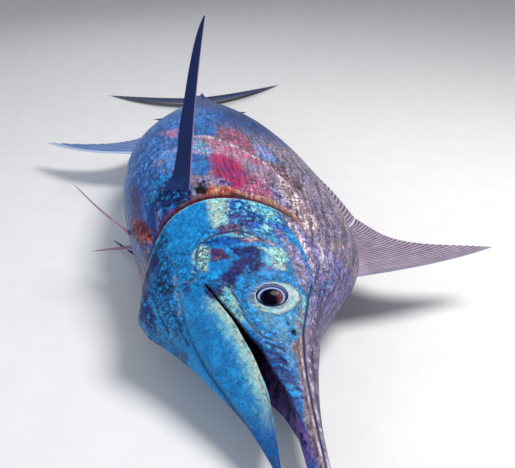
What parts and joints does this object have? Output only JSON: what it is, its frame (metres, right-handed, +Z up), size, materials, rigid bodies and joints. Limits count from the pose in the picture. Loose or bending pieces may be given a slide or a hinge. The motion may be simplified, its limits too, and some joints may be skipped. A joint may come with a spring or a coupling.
{
  "type": "black marlin",
  "caption": "life-size still model of a black marlin lying on its left side, mouth slightly open, right pectoral fin standing up",
  "frame": {"origin": "the point of the floor under the body's mid-plane, 0.32 of the body length behind the tip of the lower jaw, on the flattened left flank", "axes": "+Z up, out of the right flank; -Y towards the bill; +X towards the back of the fish"},
  "size_m": [1.4673, 3.34, 0.8442],
  "materials": {
    "bill_skin": "damp taupe skin, fine grain",
    "head_skin": "wet azure skin with dark speckles",
    "body_skin": "wet blue, lilac and crimson flank with scratchy scales",
    "dorsal_membrane": "damp lilac membrane over fine rays",
    "fin_skin": "dark slate blue, satin",
    "eye_glass": "wet, clear, deep purple-black"
  },
  "bodies": {
    "root": {"bill": "bill_skin", "head": "head_skin", "lower_jaw": "head_skin", "gill_cover_right": "head_skin", "gill_cover_left": "head_skin", "torso_front": "body_skin", "torso_rear": "body_skin", "tail_stalk": "body_skin", "dorsal_fin_lobe": "dorsal_membrane", "dorsal_fin_rear": "dorsal_membrane", "dorsal_fin_second": "fin_skin", "anal_fin_first": "fin_skin", "anal_fin_second": "fin_skin", "pectoral_fin_right": "fin_skin", "pectoral_fin_left": "fin_skin", "pelvic_fin_right": "dorsal_membrane", "pelvic_fin_left": "dorsal_membrane", "tail_lobe_upper": "fin_skin", "tail_lobe_lower": "fin_skin", "eye_right": "eye_glass", "eye_left": "eye_glass"}
  },
  "joints": []
}
